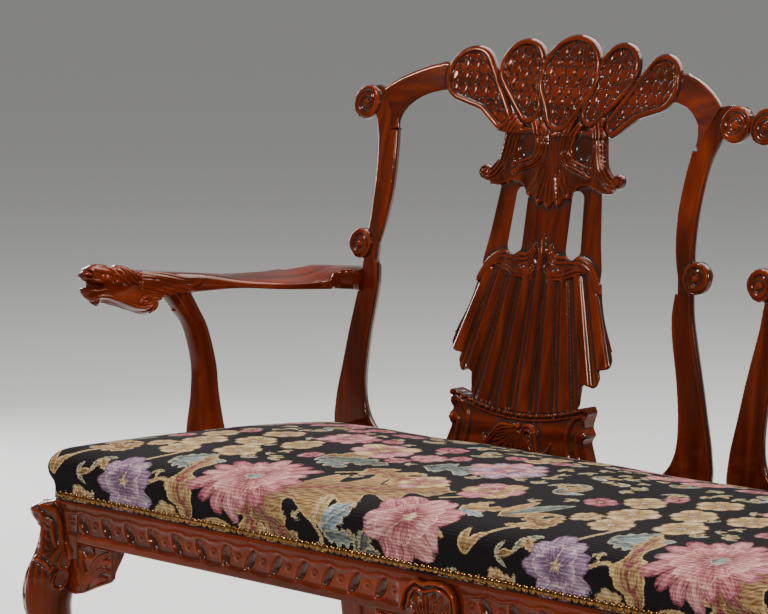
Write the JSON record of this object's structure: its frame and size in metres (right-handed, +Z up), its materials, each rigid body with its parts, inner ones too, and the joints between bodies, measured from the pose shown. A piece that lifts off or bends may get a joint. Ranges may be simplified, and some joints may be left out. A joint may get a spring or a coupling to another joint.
{
  "type": "chair-back settee",
  "caption": "Carved mahogany settee with chair backs side by side, lobed shell crests, fluted splats, dragon-head arms and a tapestry seat edged with brass nails",
  "frame": {"origin": "middle of the footprint box, on the floor", "axes": "+Z up, +X to the right of someone who faces the settee, -Y towards that person"},
  "size_m": [1.4428, 0.6806, 0.9836],
  "materials": {
    "mahogany": "polished, reddish brown, darker in the carving",
    "beech": "sawn, unfinished",
    "steel": "plain steel screws",
    "brass": "domed nails, aged",
    "tapestry": "ribbed tapestry, large flowers on a near-black ground",
    "stuffing": "stitched hair stuffing",
    "webbing": "woven jute webbing",
    "hessian": "plain hessian",
    "cotton": "black cotton dust cover"
  },
  "bodies": {
    "root": {"front_rail": "mahogany", "rear_rail": "mahogany", "side_rail_left": "mahogany", "side_rail_right": "mahogany", "medial_rail": "beech", "corner_blocks": "beech", "block_screws": "steel", "joint_pegs": "mahogany", "front_leg_left": "mahogany", "front_leg_middle": "mahogany", "front_leg_right": "mahogany", "middle_cartouche": "mahogany", "bracket_left_front": "mahogany", "bracket_left_side": "mahogany", "bracket_middle_left": "mahogany", "bracket_middle_right": "mahogany", "bracket_right_front": "mahogany", "bracket_right_side": "mahogany", "rear_post_left": "mahogany", "rear_post_right": "mahogany", "rear_leg_middle": "mahogany", "inner_stile_left": "mahogany", "inner_stile_right": "mahogany", "crest_left": "mahogany", "crest_right": "mahogany", "splat_left": "mahogany", "splat_right": "mahogany", "shoe_left": "mahogany", "shoe_right": "mahogany", "arm_left": "mahogany", "arm_right": "mahogany", "arm_support_left": "mahogany", "arm_support_right": "mahogany", "arm_screws": "steel", "webbing": "webbing", "hessian": "hessian", "seat_stuffing": "stuffing", "seat_cover": "tapestry", "brass_nails": "brass", "dust_cover": "cotton"}
  },
  "joints": []
}
